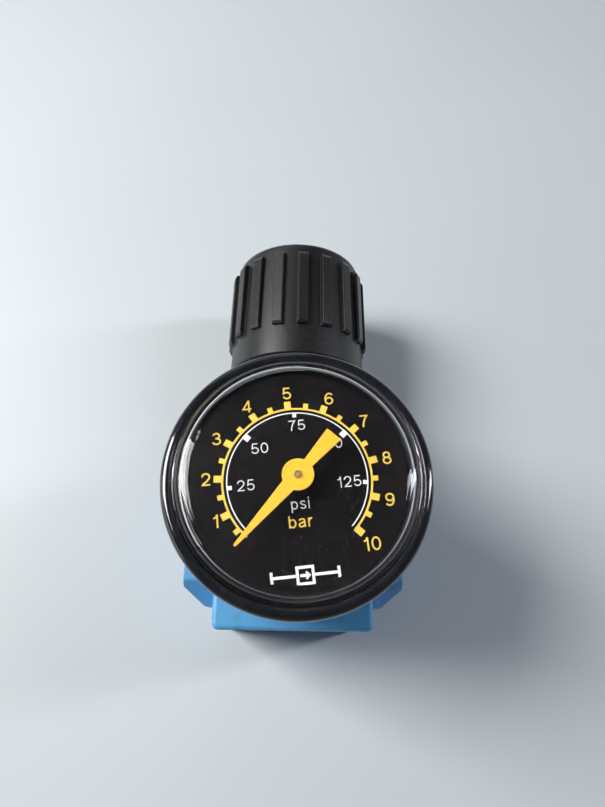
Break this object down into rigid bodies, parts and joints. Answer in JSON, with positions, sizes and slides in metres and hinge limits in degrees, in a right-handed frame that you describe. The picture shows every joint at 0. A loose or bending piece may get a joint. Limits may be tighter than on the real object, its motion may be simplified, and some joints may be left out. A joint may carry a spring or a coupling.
{
  "type": "air pressure regulator",
  "caption": "Air pressure regulator with a ribbed adjusting knob, die-cast body with threaded inlet and outlet ports, and a round dial pressure gauge on the front.",
  "frame": {"origin": "on the flat back of the body, under the crossing of the spindle axis and the port axis; the part lies on its back", "axes": "+X along the flow from inlet to outlet, +Y along the spindle towards the knob, +Z out of the gauge dial"},
  "size_m": [0.0408, 0.0793, 0.0594],
  "materials": {
    "body_paint": "satin paint on die-casting, light blue",
    "knob_black": "fine matte moulding",
    "bonnet_black": "matte glass-filled plastic",
    "case_black": "gloss black",
    "dial_black": "smooth black print",
    "crystal_clear": "clear moulded window",
    "pointer_yellow": "yellow paint",
    "brass": "turned",
    "steel": "turned",
    "spring_steel": "drawn wire",
    "bronze": "drawn tube",
    "rubber_black": "moulded",
    "aluminium": "pressed",
    "screw_steel": "zinc plated",
    "washer_fibre": "sealing washer",
    "plug_black": "matte glass-filled plastic"
  },
  "bodies": {
    "base": {"regulator_body": "body_paint", "bonnet": "bonnet_black", "panel_nut": "bonnet_black", "bottom_plug": "plug_black", "plug_washer": "rubber_black", "valve_seat": "brass", "valve_spring": "spring_steel", "diaphragm": "rubber_black", "bonnet_screw_1": "screw_steel", "bonnet_screw_2": "screw_steel", "bonnet_screw_3": "screw_steel", "bonnet_screw_4": "screw_steel", "detent_ring": "spring_steel", "main_spring": "spring_steel", "gauge_socket": "brass", "gauge_washer": "washer_fibre", "gauge_case": "case_black", "dial": "dial_black", "crystal": "crystal_clear", "movement_plate_lower": "brass", "movement_plate_upper": "brass", "movement_pillar_1": "brass", "movement_pillar_2": "brass", "movement_pillar_3": "brass", "hairspring": "bronze", "bourdon_tube": "bronze", "tube_arm": "brass"},
    "spindle_group": {"spindle": "steel", "retaining_clip": "spring_steel"},
    "knob_group": {"knob": "knob_black", "knob_cap": "knob_black"},
    "spring_nut_group": {"spring_nut": "brass"},
    "diaphragm_group": {"diaphragm_plate": "aluminium", "relief_seat": "aluminium"},
    "valve_group": {"valve_stem": "brass", "valve_seal": "rubber_black"},
    "pointer_group": {"pointer": "pointer_yellow", "pointer_arbor": "brass"},
    "sector_group": {"sector_gear": "brass"},
    "link_group": {"tip_link": "brass", "bourdon_tip": "brass"}
  },
  "joints": [
    {"name": "knob_turn", "type": "hinge", "parent": "base", "child": "spindle_group", "pos_m": [0, 0.03, 0.0195], "axis": [0, 1, 0], "range_deg": [-1260, 0]},
    {"name": "knob_pull", "type": "slide", "parent": "spindle_group", "child": "knob_group", "axis": [0, 1, 0], "range_m": [0, 0.003]},
    {"name": "spring_nut_travel", "type": "slide", "parent": "base", "child": "spring_nut_group", "axis": [0, -1, 0], "range_m": [0, 0.0035], "deforming": ["main_spring"]},
    {"name": "diaphragm_lift", "type": "slide", "parent": "base", "child": "diaphragm_group", "axis": [0, -1, 0], "range_m": [0, 0.001], "stiffness_N_per_m": 200, "deforming": ["diaphragm", "main_spring"]},
    {"name": "valve_lift", "type": "slide", "parent": "base", "child": "valve_group", "axis": [0, -1, 0], "range_m": [0, 0.001], "deforming": ["valve_spring"]},
    {"name": "pointer_turn", "type": "hinge", "parent": "base", "child": "pointer_group", "pos_m": [0, 0, 0.057], "axis": [0, 0, 1], "range_deg": [-275, 0], "stiffness_Nm_per_rad": 0.00001, "deforming": ["hairspring"]},
    {"name": "sector_turn", "type": "hinge", "parent": "base", "child": "sector_group", "pos_m": [0.00679, -0.00679, 0.0493], "axis": [0, 0, 1], "range_deg": [0, 40]},
    {"name": "link_swing", "type": "hinge", "parent": "sector_group", "child": "link_group", "pos_m": [0.01073, -0.00822, 0.0503], "axis": [0, 0, 1], "range_deg": [-40, 0], "deforming": ["bourdon_tube"]}
  ],
  "couplings": [
    {"joint": "knob_turn", "follows": "spring_nut_travel", "rad_per_m": -6283.2},
    {"joint": "valve_lift", "follows": "diaphragm_lift", "ratio": 1},
    {"joint": "sector_turn", "follows": "pointer_turn", "ratio": -0.14286},
    {"joint": "link_swing", "follows": "pointer_turn", "ratio": 0.14286}
  ]
}
